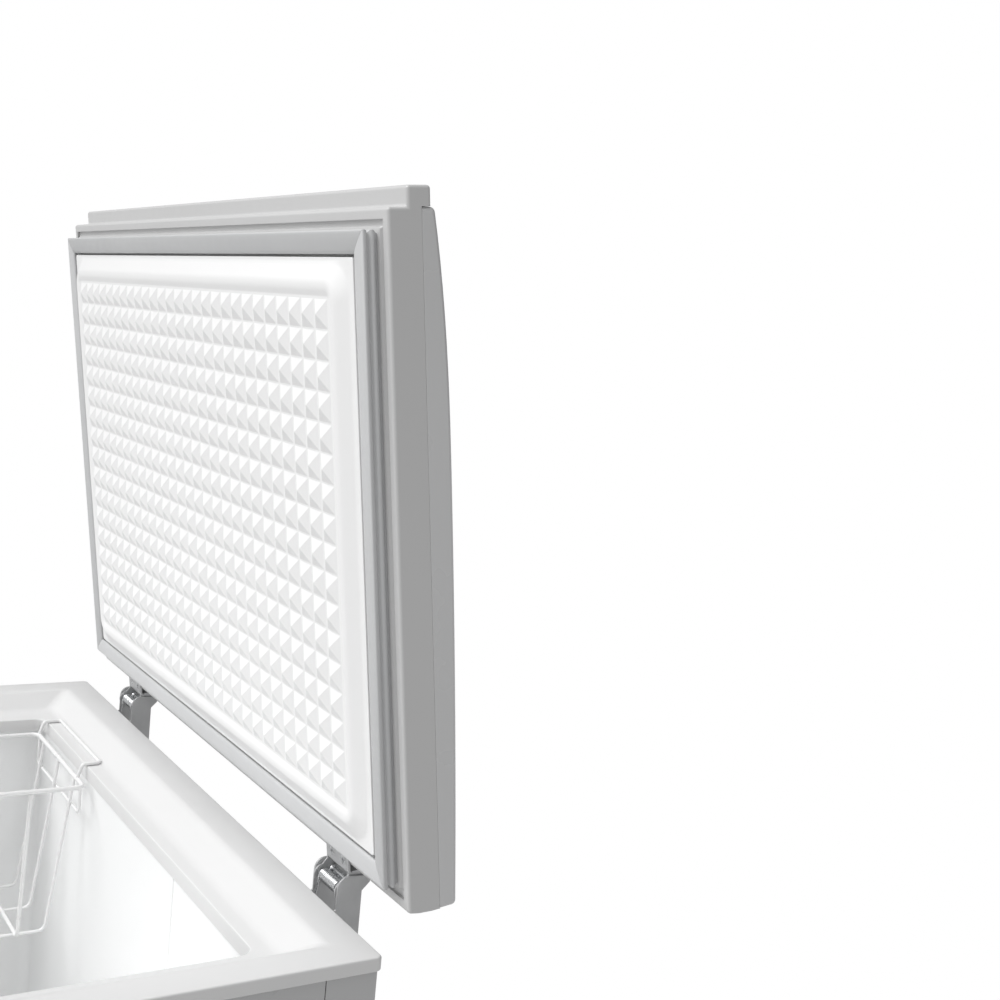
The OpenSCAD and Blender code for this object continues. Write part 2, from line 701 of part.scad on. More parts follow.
module hinge_upper() color(steel) difference() {
    union() {
        box(-arm_x, arm_x, -20, 2, frame_z - 2, frame_z);
        along_x(-arm_x, arm_x) web_outline();
        for (s = [-1, 1]) along_x(s * (arm_x - cheek / 2) - cheek / 2, s * (arm_x - cheek / 2) + cheek / 2)
            arm_outline();
    }
    along_x(-40, 40) translate([pivot_back, pivot_z]) circle(pin_r + 0.05);
    along_x(-40, 40) translate([stop_pin[0], body_top + stop_pin[1]]) circle(3);
    hinge_upper_screw_places() flush_screw(0);
}

module hinge_upper_left() on_lid() translate([-hinge_x, 0, 0]) hinge_upper();

module hinge_upper_right() on_lid() translate([hinge_x, 0, 0]) hinge_upper();

module hinge_stop_pins() on_lid() color(zinc) for (s = [-1, 1])
    translate([s * hinge_x - arm_x, stop_pin[0], body_top + stop_pin[1]]) rotate([0, 90, 0])
        cylinder(h = 2 * arm_x, r = 3);

module hinge_upper_screws() on_lid() color(zinc) for (s = [-1, 1])
    translate([s * hinge_x, 0, 0]) hinge_upper_screw_places() difference() {
        flush_screw(0);
        for (a = [0, 90]) rotate([0, 0, a]) translate([-2, -0.4, -eps]) cube([4, 0.8, 1]);
    }

// ---------------------------------------------------------------- lid

// Height of the lid's top at a distance y; t thins it for the inner face
function crown(y) = side_top + crown_h - (y > crown_line
    ? crown_back * pow((y - crown_line) / (lid_back - crown_line), 2)
    : crown_front * pow((crown_line - y) / (crown_line - lid_front), 2.6));

// Side view of the lid's skin, s inside its outer face
module crown_profile(s) polygon(concat(
    [[lid_back - s, side_top - eps]],
    [[lid_back - s, crown(lid_back) - 3 - s], [lid_back - 3 - s, crown(lid_back - 3) - s]],
    [for (i = [1 : 15]) let (y = lid_back - 3 + (lid_front - lid_back + 6) * i / 16) [y, crown(y) - s]],
    [[lid_front + 3 + s, crown(lid_front + 3) - s], [lid_front + s, crown(lid_front) - 3 - s]],
    [[lid_front + s, side_top - eps]]));

module lid_panel() on_lid() color(white) difference() {
    along_x(-lid_len / 2, lid_len / 2) translate([0, eps]) crown_profile(0);
    along_x(-lid_len / 2 + skin, lid_len / 2 - skin) crown_profile(skin);
}

frame_wall = 3;
foot_w = 8.4;
grip_z = lid_z + 30;
grip_top = lid_z + 50;

module lid_rect(s, z0, z1) box(-lid_len / 2 + s, lid_len / 2 - s, lid_front + s, lid_back - s, z0, z1);

module lid_frame() on_lid() color(white) {
    difference() {
        lid_rect(0, frame_z, side_top);
        lid_rect(foot_w, frame_z - 1, frame_z + 3 + eps);
        lid_rect(frame_wall, frame_z + 3, side_top + 1);
        for (s = [-1, 1]) translate([s * hinge_x, 0, 0]) hinge_upper_screw_places()
            cylinder(h = 6, r = 2.2);
    }
    // Grip along the front edge, with a groove for the fingers
    difference() {
        along_x(-lid_len / 2, lid_len / 2) polygon([
            [lid_front, grip_z], [lid_front, side_top], [lid_front - 0.2, grip_top],
            [lid_front - grip_w + 3, grip_top], [lid_front - grip_w, grip_top - 3],
            [lid_front - grip_w, grip_z]]);
        box(-lid_len / 2 + 3, lid_len / 2 - 3, lid_front - grip_w + 3, lid_front - 3,
            grip_z - 1, grip_z + 8);
    }
}

// Block over the gasket's outline, g larger on each side
module seal_plate(g, z0, z1) translate([0, gasket_y, 0])
    box(-gasket_len / 2 - g, gasket_len / 2 + g, -gasket_depth / 2 - g, gasket_depth / 2 + g, z0, z1);

module tub_cut(g) translate([0, gasket_y, 0]) {
    box(-gasket_len / 2 + gasket_w + 1.7 + g, gasket_len / 2 - gasket_w - 1.7 - g,
        -gasket_depth / 2 + gasket_w + 1.7 + g, gasket_depth / 2 - gasket_w - 1.7 - g,
        flange_z + g, frame_z + 20);
    frustum(350.5 - g, 217 - g, plateau_z + 2 * g, 365 - g, 231.5 - g, flange_z + g + eps);
}

module lid_foam() on_lid() color(foam_tan) difference() {
    union() {
        intersection() {
            along_x(-lid_len / 2 + frame_wall + 0.1, lid_len / 2 - frame_wall - 0.1)
                translate([0, -0.05]) crown_profile(frame_wall + 0.1);
            lid_rect(frame_wall + 0.1, side_top, side_top + 50);
        }
        lid_rect(frame_wall + 0.1, frame_z + 3.1, side_top + eps);
        seal_plate(-1.1, frame_z + 1.6, frame_z + 4);
        intersection() {
            tub_cut(1.6);
            box(-half, half, -body_depth, 0, plateau_z, frame_z + 2);
        }
    }
}

// One row of teeth, in x or y, for the pyramid field
function teeth(n, pitch) = concat(
    [[-n * pitch / 2, 1]],
    [for (i = [0 : n - 1], p = [[-0.5, 0], [0, -1], [0.5, 0]])
        [(i - (n - 1) / 2) * pitch + p[0] * pyramid_side, p[1] * pyramid_h]],
    [[n * pitch / 2, 1]]);

module pyramids() translate([0, gasket_y, recess_z]) intersection() {
    rotate([90, 0, 0]) linear_extrude(2 * field_y, center = true) polygon(teeth(pyramid_cols, pitch_x));
    rotate([90, 0, 90]) linear_extrude(2 * field_x, center = true) polygon(teeth(pyramid_rows, pitch_y));
}

module lid_liner() on_lid() color(bright_white) {
    difference() {
        union() {
            seal_plate(1, frame_z, frame_z + 1.5);
            difference() {
                lid_rect(foot_w + 0.1, frame_z + 1.5 - eps, frame_z + 3);
                seal_plate(-1, frame_z, frame_z + 4);
            }
            intersection() {
                tub_cut(0);
                box(-half, half, -body_depth, 0, plateau_z - 1, frame_z + 1.5);
            }
        }
        tub_cut(1.5);
        for (s = [-1, 1]) translate([s * hinge_x, 0, 0]) hinge_upper_screw_places()
            cylinder(h = 6, r = 2.2);
        translate([0, gasket_y, 0])
            frustum(field_x + 8, field_y + 8, plateau_z - eps, field_x + 1, field_y + 1, recess_z);
    }
    pyramids();
}

module gasket_ring(out, inner, z0, z1) translate([0, gasket_y, 0]) difference() {
    box(-gasket_len / 2 + out, gasket_len / 2 - out, -gasket_depth / 2 + out, gasket_depth / 2 - out, z0, z1);
    box(-gasket_len / 2 + inner, gasket_len / 2 - inner,
        -gasket_depth / 2 + inner, gasket_depth / 2 - inner, z0 - 1, z1 + 1);
}

module gasket() on_lid() color("#d5d7d8") {
    gasket_ring(0, gasket_w, lid_z, lid_z + 5);
    gasket_ring(2.5, gasket_w - 2.5, lid_z + 5 - eps, lid_z + 6.5 + eps);
    gasket_ring(0.5, gasket_w - 0.5, lid_z + 6.5, frame_z);
}

// ---------------------------------------------------------------- basket

module basket_rim() at_cabinet() color(bright_white)
    wire([[-210, basket_back, rim_z], [basket_near, basket_back, rim_z],
          [basket_near, basket_front, rim_z], [-basket_far, basket_front, rim_z],
          [-basket_far, basket_back, rim_z], [-210, basket_back, rim_z]], rim_r, 9);

cross_x = [-280, -215, -151];
long_count = 6;
long_r = wire_r + 0.3;
wire_top = rim_z - rim_r + 0.4;
long_z = basket_z + wire_r + long_r - 0.4;

// Wires that run down the back, under the floor and up the front
module basket_cross_wires() at_cabinet() color(bright_white) for (x = cross_x)
    wire([[x, basket_back, wire_top], [x, basket_back - taper_y, basket_z],
          [x, basket_front + taper_y, basket_z], [x, basket_front, wire_top]], wire_r, 8);

// Thicker wires that run down one end, along the floor and up the other end
module basket_long_wires() at_cabinet() color(bright_white) for (i = [0 : long_count - 1]) {
    y = -139 - i * (body_depth - 278) / (long_count - 1);
    wire([[-basket_far, y, wire_top], [-basket_far + taper_x, y, long_z],
          [basket_near - taper_x, y, long_z], [basket_near, y, wire_top]], long_r, 8);
}

// Stiffening wires below the rim, at the back and at the front
guard_y = basket_back - 1.1;
module basket_guard_wires() at_cabinet() color(bright_white)
    for (m = [0, 1]) translate([0, 2 * basket_mid * m, 0]) mirror([0, m, 0])
        wire([[-basket_far + 10, guard_y, wire_top], [-basket_far + 10, guard_y, rim_z - 32],
              [basket_near - 10, guard_y, rim_z - 32], [basket_near - 10, guard_y, wire_top]], wire_r, 5);

basket_mid = -body_depth / 2;
hook_far = -basket_far + 4;
hook_near = basket_near - 27;
hook_r = 2;

// Loops that hang on the collar's ledge, at the back and at the front
module hook_loop() {
    outer = [basket_back + 24, body_top - slope_h + hook_r + 0.1];
    inner = [basket_back + 5, outer[1]];
    low = [basket_back, rim_z + rim_r - 0.4];
    wire([[hook_far, low[0], low[1]], [hook_far, inner[0], inner[1]], [hook_far, outer[0], outer[1]],
          [hook_near, outer[0], outer[1]], [hook_near, inner[0], inner[1]], [hook_near, low[0], low[1]]], hook_r, 5);
}

module basket_hooks() at_cabinet() color(bright_white) {
    hook_loop();
    translate([0, 2 * basket_mid, 0]) mirror([0, 1, 0]) hook_loop();
}

// ---------------------------------------------------------------- assembly

wrap();  // outer_wrap
rear_panel();
base_pan();
body_foam();
liner();
collar();
evaporator_coil();
condenser_coil();
refrigerant_pipes();
filter_drier();
compressor_shell();
compressor_feet();
compressor_grommets();
compressor_bolts();
terminal_cover();
side_grille();
bay_cover();
cover_screws();
feet();
foot_screws();
control_bezel();
thermostat();
indicator_lenses();
thermostat_knob();
drain_tube();
drain_cap();
drain_stopper();
cord_gland();
hinge_lower_left();
hinge_lower_right();
hinge_plates();
hinge_lower_screws();
hinge_pins();
hinge_springs();
hinge_upper_left();
hinge_upper_right();
hinge_stop_pins();
hinge_upper_screws();
lid_frame();
lid_panel();
lid_foam();
lid_liner();
gasket();
basket_rim();
basket_hooks();
basket_cross_wires();
basket_long_wires();
basket_guard_wires();
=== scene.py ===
"""Looks of the chest freezer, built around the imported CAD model. Metres, +Z up, front towards -Y."""

import json
import math

import bmesh
import bpy
from mathutils import Matrix, Vector


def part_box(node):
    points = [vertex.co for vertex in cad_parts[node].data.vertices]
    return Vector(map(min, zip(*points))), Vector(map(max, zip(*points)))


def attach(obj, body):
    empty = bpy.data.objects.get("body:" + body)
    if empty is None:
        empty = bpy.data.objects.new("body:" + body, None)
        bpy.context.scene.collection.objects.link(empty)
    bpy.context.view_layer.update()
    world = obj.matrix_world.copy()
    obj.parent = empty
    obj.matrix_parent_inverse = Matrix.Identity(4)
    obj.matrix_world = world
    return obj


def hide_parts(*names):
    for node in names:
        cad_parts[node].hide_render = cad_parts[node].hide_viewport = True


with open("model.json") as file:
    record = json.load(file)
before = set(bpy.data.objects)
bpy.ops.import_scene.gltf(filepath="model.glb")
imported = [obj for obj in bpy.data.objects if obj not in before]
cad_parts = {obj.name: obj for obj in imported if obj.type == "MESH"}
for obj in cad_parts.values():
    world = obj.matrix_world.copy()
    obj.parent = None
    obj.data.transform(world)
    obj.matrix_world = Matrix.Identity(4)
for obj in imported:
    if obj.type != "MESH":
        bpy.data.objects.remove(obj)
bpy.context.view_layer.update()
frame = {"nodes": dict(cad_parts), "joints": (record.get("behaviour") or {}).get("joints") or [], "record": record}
NODES = frame["nodes"]
MM = 0.001


# ------------------------------------------------------------------ camera

CAM_AT = Vector((1.3021, -0.2635, 1.2714))
CAM_AZ = math.radians(57.31)
CAM_DOWN = math.radians(6.74)
CAM_ROLL = math.radians(5.49)


def make_camera():
    cam = bpy.data.objects.new("camera", bpy.data.cameras.new("camera"))
    bpy.context.scene.collection.objects.link(cam)
    cam.data.sensor_width = 36
    cam.data.lens = 49.86
    cam.data.clip_start, cam.data.clip_end = 0.05, 60
    look = Vector((
        -math.sin(CAM_AZ) * math.cos(CAM_DOWN),
        math.cos(CAM_AZ) * math.cos(CAM_DOWN),
        -math.sin(CAM_DOWN),
    ))
    right0 = look.cross(Vector((0, 0, 1))).normalized()
    up0 = right0.cross(look)
    c, s = math.cos(CAM_ROLL), math.sin(CAM_ROLL)
    right, up = c * right0 + s * up0, -s * right0 + c * up0
    turn = Matrix((right, up, -look)).transposed()
    cam.matrix_world = Matrix.Translation(CAM_AT) @ turn.to_4x4()
    bpy.context.scene.camera = cam


# ------------------------------------------------------------------ materials


class Graph:
    """Small helper that builds one node material."""

    def __init__(self, name):
        self.mat = bpy.data.materials.new(name)
        self.mat.use_nodes = True
        self.tree = self.mat.node_tree
        self.nodes = self.tree.nodes
        self.bsdf = self.nodes["Principled BSDF"]
        self.coord = self.nodes.new("ShaderNodeTexCoord").outputs["Object"]

    def link(self, a, b):
        self.tree.links.new(a, b)

    def set(self, **values):
        for key, value in values.items():
            self.bsdf.inputs[key.replace("_", " ")].default_value = value

    def noise(self, scale, detail=3, rough=0.5, stretch=(1, 1, 1)):
        n = self.nodes.new("ShaderNodeTexNoise")
        n.inputs["Scale"].default_value = scale
        n.inputs["Detail"].default_value = detail
        n.inputs["Roughness"].default_value = rough
        if stretch == (1, 1, 1):
            self.link(self.coord, n.inputs["Vector"])
        else:
            m = self.nodes.new("ShaderNodeMapping")
            m.inputs["Scale"].default_value = stretch
            self.link(self.coord, m.inputs["Vector"])
            self.link(m.outputs["Vector"], n.inputs["Vector"])
        return n.outputs["Fac"]

    def ramp(self, fac, stops):
        r = self.nodes.new("ShaderNodeValToRGB")
        e = r.color_ramp.elements
        while len(e) < len(stops):
            e.new(0.5)
        for k, (at, colour) in enumerate(stops):
            e[k].position = at
            e[k].color = (*colour, 1) if len(colour) == 3 else colour
        self.link(fac, r.inputs["Fac"])
        return r.outputs["Color"]

    def range(self, fac, low, high, to_low, to_high):
        r = self.nodes.new("ShaderNodeMapRange")
        for key, value in zip(("From Min", "From Max", "To Min", "To Max"), (low, high, to_low, to_high)):
            r.inputs[key].default_value = value
        self.link(fac, r.inputs["Value"])
        return r.outputs["Result"]

    def mix(self, a, b, fac, mode="MIX"):
        m = self.nodes.new("ShaderNodeMix")
        m.data_type = "RGBA"
        m.blend_type = mode
        for key, value in ((0, fac), (6, a), (7, b)):
            if hasattr(value, "links"):
                self.link(value, m.inputs[key])
            else:
                m.inputs[key].default_value = value
        return m.outputs[2]

    def bump(self, height, strength, distance=0.001, after=None):
        b = self.nodes.new("ShaderNodeBump")
        b.inputs["Strength"].default_value = strength
        b.inputs["Distance"].default_value = distance
        self.link(height, b.inputs["Height"])
        if after is not None:
            self.link(after, b.inputs["Normal"])
        return b.outputs["Normal"]


def grey(v):
    return (v, v, v)


def speckled(name, light, dark, rough, scale=60, grain=900, bump=0.06, distance=0.0004,
             coat=0.0, metallic=0.0, specular=0.5):
    """Moulded surface: faint large tone drift, fine grain in the bump, small changes in gloss."""
    g = Graph(name)
    drift = g.noise(scale * 0.06, 2)
    g.link(g.ramp(drift, [(0.3, dark), (0.7, light)]), g.bsdf.inputs["Base Color"])
    fine = g.noise(scale, 4, 0.6)
    g.link(g.range(fine, 0.3, 0.7, rough * 0.85, rough * 1.15), g.bsdf.inputs["Roughness"])
    g.link(g.bump(g.noise(grain, 2), bump, distance), g.bsdf.inputs["Normal"])
    g.set(Metallic=metallic, Coat_Weight=coat, Coat_Roughness=0.12, Specular_IOR_Level=specular)
    return g.mat


def orange_peel(name, colour, rough=0.28):
    """Gloss powder paint on sheet steel, with slight orange peel and long soft waves."""
    g = Graph(name)
    drift = g.noise(2.2, 3)
    base = g.ramp(drift, [(0.3, tuple(c * 0.975 for c in colour)), (0.7, colour)])
    g.link(base, g.bsdf.inputs["Base Color"])
    g.link(g.range(g.noise(14, 4), 0.3, 0.75, rough * 0.93, rough * 1.1), g.bsdf.inputs["Roughness"])
    peel = g.bump(g.noise(420, 2, 0.4), 0.10, 0.0003)
    g.link(g.bump(g.noise(3.2, 2), 0.10, 0.003, peel), g.bsdf.inputs["Normal"])
    g.set(Coat_Weight=0.25, Coat_Roughness=0.15)
    return g.mat


def metal(name, colour, rough, streak=(1, 1, 1), bump=0.05, patches=0.12, scale=700,
          metallic=1.0):
    """Bare or plated metal with drawn streaks and uneven plating."""
    g = Graph(name)
    cloud = g.noise(45, 4, 0.6)
    low = tuple(c * (1 - patches) for c in colour)
    g.link(g.ramp(cloud, [(0.3, low), (0.7, colour)]), g.bsdf.inputs["Base Color"])
    lines = g.noise(scale, 3, 0.55, streak)
    g.link(g.range(lines, 0.25, 0.75, rough * 0.75, rough * 1.3), g.bsdf.inputs["Roughness"])
    g.link(g.bump(lines, bump, 0.0003), g.bsdf.inputs["Normal"])
    g.set(Metallic=metallic)
    return g.mat


def make_materials():
    m = {}
    m["white_paint"] = orange_peel("white_paint", (0.49, 0.492, 0.495))
    m["lid_paint"] = orange_peel("lid_paint", (0.61, 0.612, 0.615))
    m["white_plastic"] = speckled("white_plastic", grey(0.71), grey(0.695), 0.38, coat=0.1)
    m["lid_plastic"] = speckled("lid_plastic", grey(0.585), grey(0.57), 0.38, coat=0.1)
    m["lid_liner_plastic"] = speckled(
        "lid_liner_plastic", grey(0.88), grey(0.865), 0.34, coat=0.15, grain=700)
    m["liner_white"] = orange_peel("liner_white", (0.93, 0.935, 0.935), 0.32)
    m["gasket_rubber"] = speckled(
        "gasket_rubber", (0.57, 0.575, 0.58), (0.535, 0.54, 0.545), 0.55, grain=1200, bump=0.12)
    m["wire_white"] = speckled(
        "wire_white", grey(0.82), grey(0.78), 0.3, grain=1400, bump=0.05, coat=0.3)
    m["hinge_steel"] = metal("hinge_steel", (0.53, 0.535, 0.54), 0.38, (1, 1, 0.08), metallic=0.45)
    m["zinc"] = metal("zinc", (0.66, 0.67, 0.68), 0.26, (0.15, 1, 1))
    m["galvanised"] = metal("galvanised", (0.55, 0.56, 0.57), 0.42, scale=90, patches=0.2)
    m["tube_aluminium"] = metal("tube_aluminium", (0.68, 0.69, 0.70), 0.36, (0.1, 1, 1))
    m["copper"] = metal("copper", (0.70, 0.36, 0.22), 0.3, (1, 1, 0.1), patches=0.25)
    m["foam"] = speckled(
        "foam", (0.80, 0.70, 0.46), (0.68, 0.57, 0.34), 0.9,
        scale=40, grain=260, bump=0.6, distance=0.002, specular=0.2)
    m["compressor_black"] = speckled("compressor_black", grey(0.018), grey(0.013), 0.42, coat=0.3)
    m["rubber"] = speckled(
        "rubber", grey(0.02), grey(0.014), 0.75, grain=600, bump=0.2, specular=0.3)
    m["black_plastic"] = speckled(
        "black_plastic", grey(0.025), grey(0.018), 0.5, grain=1100, bump=0.15)
    m["grille_plastic"] = speckled(
        "grille_plastic", (0.66, 0.665, 0.67), (0.64, 0.645, 0.65), 0.45, grain=1100, bump=0.15)
    m["drain_plastic"] = speckled(
        "drain_plastic", (0.70, 0.705, 0.71), (0.67, 0.675, 0.68), 0.45, grain=1100, bump=0.12)
    m["lens"] = speckled(
        "lens", (0.05, 0.38, 0.10), (0.03, 0.30, 0.08), 0.15, coat=0.6, grain=300, bump=0.02)
    return m


def node_slots():
    found = {}
    for part in frame["record"]["subparts"]:
        found[part["node"]] = part["material_slot"]
    return found


def paint(obj, mat):
    obj.data.materials.clear()
    obj.data.materials.append(mat)


# ------------------------------------------------------------------ mesh tools


def body_of(node):
    for body, names in frame["record"]["behaviour"]["bodies"].items():
        if node in names:
            return body
    raise KeyError(node)


def new_object(name, bm, smooth_deg):
    """Linked object made of a bmesh, smooth below the given angle and flat if that is 0."""
    mesh = bpy.data.meshes.new(name)
    bmesh.ops.recalc_face_normals(bm, faces=bm.faces)
    bm.to_mesh(mesh)
    bm.free()
    obj = bpy.data.objects.new(name, mesh)
    bpy.context.scene.collection.objects.link(obj)
    if smooth_deg:
        mesh.shade_smooth()
        mesh.set_sharp_from_angle(angle=math.radians(smooth_deg))
    return obj


def round_edges(obj, width, segments, angle, weights):
    """Bevels the edges above an angle, or those with a bevel weight; the width is in metres."""
    mod = obj.modifiers.new("round", "BEVEL")
    mod.width = width
    mod.segments = segments
    mod.limit_method = "WEIGHT" if weights else "ANGLE"
    mod.angle_limit = math.radians(angle)
    mod.use_clamp_overlap = True
    mod.harden_normals = True
    obj.data.shade_smooth()


def softened(node, width, segments=2, angle=25):
    """A copy of a CAD node with its hard edges rounded, which stands for the node.

    The width is in metres and is clamped where the roundings would overlap.
    """
    bm = bmesh.new()
    bm.from_mesh(NODES[node].data)
    bmesh.ops.remove_doubles(bm, verts=bm.verts, dist=2e-6)
    bmesh.ops.dissolve_limit(bm, angle_limit=math.radians(0.6), verts=bm.verts, edges=bm.edges)
    obj = new_object(node + "_soft", bm, 0)
    round_edges(obj, width, segments, angle, weights=False)
    finish_piece(obj, node)


def finish_piece(obj, *nodes, slot=None, body=None):
    """Gives a piece its material, body and the CAD nodes that it stands for."""
    slot = slot or SLOTS[nodes[0]]
    paint(obj, MATS[slot])
    if nodes:
        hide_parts(*nodes)
    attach(obj, body or body_of(nodes[0]))
    return obj


# ------------------------------------------------------------------ studio


FLOOR_R = 2.5


def make_stage():
    """A pale round floor whose rim fades into the white studio."""
    bm = bmesh.new()
    bmesh.ops.create_circle(bm, cap_ends=True, segments=96, radius=FLOOR_R)
    floor = new_object("floor", bm, 0)
    g = Graph("floor_paint")
    g.link(g.ramp(g.noise(1.5, 3), [(0.3, grey(0.68)), (0.7, grey(0.70))]), g.bsdf.inputs["Base Color"])
    g.link(g.range(g.noise(6, 3), 0.3, 0.7, 0.6, 0.75), g.bsdf.inputs["Roughness"])
    length = g.nodes.new("ShaderNodeVectorMath")
    length.operation = "LENGTH"
    g.link(g.coord, length.inputs[0])
    fade = g.nodes.new("ShaderNodeMapRange")
    fade.interpolation_type = "SMOOTHSTEP"
    for key, value in zip(("From Min", "From Max", "To Min", "To Max"), (0.5, 1.25, 1, 0)):
        fade.inputs[key].default_value = value
    g.link(length.outputs["Value"], fade.inputs["Value"])
    g.link(fade.outputs["Result"], g.bsdf.inputs["Alpha"])
    paint(floor, g.mat)


def sun(name, towards, angle, strength):
    data = bpy.data.lights.new(name, "SUN")
    data.angle = math.radians(angle)
    data.energy = strength
    lamp = bpy.data.objects.new(name, data)
    bpy.context.scene.collection.objects.link(lamp)
    lamp.rotation_euler = Vector(towards).to_track_quat("Z", "Y").to_euler()


def well_fill():
    """Soft light in the near end of the well, which stands for the glow of its white walls."""
    data = bpy.data.lights.new("well_fill", "AREA")
    data.shape = "RECTANGLE"
    data.size, data.size_y = 0.34, 0.36
    data.energy = 0.5
    lamp = bpy.data.objects.new("well_fill", data)
    bpy.context.scene.collection.objects.link(lamp)
    lamp.location = cabinet_place((310, -274, 520))
    lamp.rotation_euler = Vector((1, 0, 0)).to_track_quat("Z", "Y").to_euler()
    lamp.visible_camera = lamp.visible_glossy = False


# Studio sky: brightness level at the horizon and its rise towards the front and the top; an even
# glow from below
SKY_LEVEL, SKY_RISE = 0.25, Vector((0.0, -0.43, 0.53))
GROUND_GLOW = 0.66


def make_light():
    """Soft sky, brightest above the front, before a plain white backdrop; one large soft key light."""
    world = bpy.data.worlds.new("studio")
    bpy.context.scene.world = world
    world.use_nodes = True
    tree = world.node_tree
    tree.nodes.clear()

    def node(kind, **values):
        n = tree.nodes.new("ShaderNode" + kind)
        for key, value in values.items():
            setattr(n, key, value)
        return n

    coord = node("TexCoord").outputs["Generated"]
    dot = node("VectorMath", operation="DOT_PRODUCT")
    dot.inputs[1].default_value = SKY_RISE
    tree.links.new(coord, dot.inputs[0])
    sky = node("Math", operation="ADD", use_clamp=False)
    sky.inputs[1].default_value = SKY_LEVEL
    tree.links.new(dot.outputs["Value"], sky.inputs[0])
    split = node("SeparateXYZ")
    tree.links.new(coord, split.inputs[0])
    above = node("MapRange", interpolation_type="SMOOTHSTEP")
    above.inputs["From Min"].default_value, above.inputs["From Max"].default_value = -0.05, 0.05
    tree.links.new(split.outputs["Z"], above.inputs["Value"])
    level = node("Mix")
    level.inputs["A"].default_value = GROUND_GLOW
    tree.links.new(above.outputs["Result"], level.inputs["Factor"])
    tree.links.new(sky.outputs[0], level.inputs["B"])
    light, backdrop = node("Background"), node("Background")
    tree.links.new(level.outputs["Result"], light.inputs["Strength"])
    for b in (light, backdrop):
        b.inputs["Color"].default_value = (1, 1, 1, 1)
    pick = node("MixShader")
    tree.links.new(node("LightPath").outputs["Is Camera Ray"], pick.inputs["Fac"])
    tree.links.new(light.outputs[0], pick.inputs[1])
    tree.links.new(backdrop.outputs[0], pick.inputs[2])
    tree.links.new(pick.outputs[0], node("OutputWorld").inputs["Surface"])
    sun("key", (-0.22, -0.62, 0.75), 40, 2.0)
    well_fill()
    bpy.context.scene.view_settings.view_transform = "Standard"


# ------------------------------------------------------------------ build

# Closed-lid coordinates are millimetres: x from the middle, y from the collar's back edge,
# z from the floor. lid_place() turns them into the open lid's place in the frame.

HINGE = next(j for j in frame["joints"] if j["name"] == "lid_hinge")
PIVOT = Vector(HINGE["pos_m"])
OPEN_ANGLE = math.radians(-min(HINGE["range_deg"]))
Y_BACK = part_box("collar")[1].y
BODY_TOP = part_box("collar")[1].z / MM
HALF_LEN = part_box("collar")[1].x / MM
BODY_DEPTH = (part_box("collar")[1].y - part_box("collar")[0].y) / MM

LID_HALF = 408.0
LID_BACK, LID_FRONT = -0.8, -546.4
LID_Z = BODY_TOP + 0.3
FRAME_Z = LID_Z + 14
SIDE_TOP = FRAME_Z + 28
# lean of the lid's back wall, the rim's inner edge, and the depth of the pocket inside it
BACK_LEAN, RIM_IN, RIM_DEPTH = 3.6, 8.2, 3.4
GRIP_W, GRIP_Z, GRIP_TOP = 15.4, LID_Z + 30, LID_Z + 50
GASKET_Y = -276.45
GASKET_HALF = (393.4, 254.45)
GASKET_W = 17.7


def cabinet_place(point):
    x, y, z = point
    return Vector((x * MM, Y_BACK + y * MM, z * MM))


LID_TURN = Matrix.Translation(PIVOT) @ Matrix.Rotation(-OPEN_ANGLE, 4, "X") @ Matrix.Translation(-PIVOT)


def lid_place(point):
    return LID_TURN @ cabinet_place(point)


def edge_weight(bm):
    return bm.edges.layers.float.get("bevel_weight_edge") or bm.edges.layers.float.new("bevel_weight_edge")


def prism(bm, outline, x0, x1):
    """Closed prism along x over an outline of (y, z) points."""
    near = [bm.verts.new((x1, y, z)) for y, z in outline]
    far = [bm.verts.new((x0, y, z)) for y, z in outline]
    n = len(outline)
    for i in range(n):
        bm.faces.new((near[i], near[(i + 1) % n], far[(i + 1) % n], far[i]))
    bm.faces.new(near)
    bm.faces.new(list(reversed(far)))


def column(bm, outline, z0, z1):
    """Closed upright prism over an outline of (x, y) points."""
    rows = [[bm.verts.new((x, y, z)) for x, y in outline] for z in (z0, z1)]
    join_rows(bm, rows)
    for row in rows:
        bm.faces.new(row)


def place(bm, placer):
    for v in bm.verts:
        v.co = placer(v.co)


def bevelled(obj, width_mm, segments=3, weights=True, angle=30):
    """Rounds the edges of a redrawn piece; returns the piece."""
    round_edges(obj, width_mm * MM, segments, angle, weights)
    return obj


def rim_rounding(e):
    """Share of the full edge radius that an edge of the lid frame gets."""
    mid = (e.verts[0].co + e.verts[1].co) / 2
    along = (e.verts[0].co - e.verts[1].co).normalized()
    if mid.z > SIDE_TOP - 0.1 and mid.y > LID_FRONT - 1:
        return 0.2 if mid.z < GRIP_TOP - 1 else 0.1
    at_end = abs(mid.x) > LID_HALF - 1
    return 0.9 if at_end and abs(along.z) > 0.9 and mid.y > LID_FRONT + 1 else 1.0


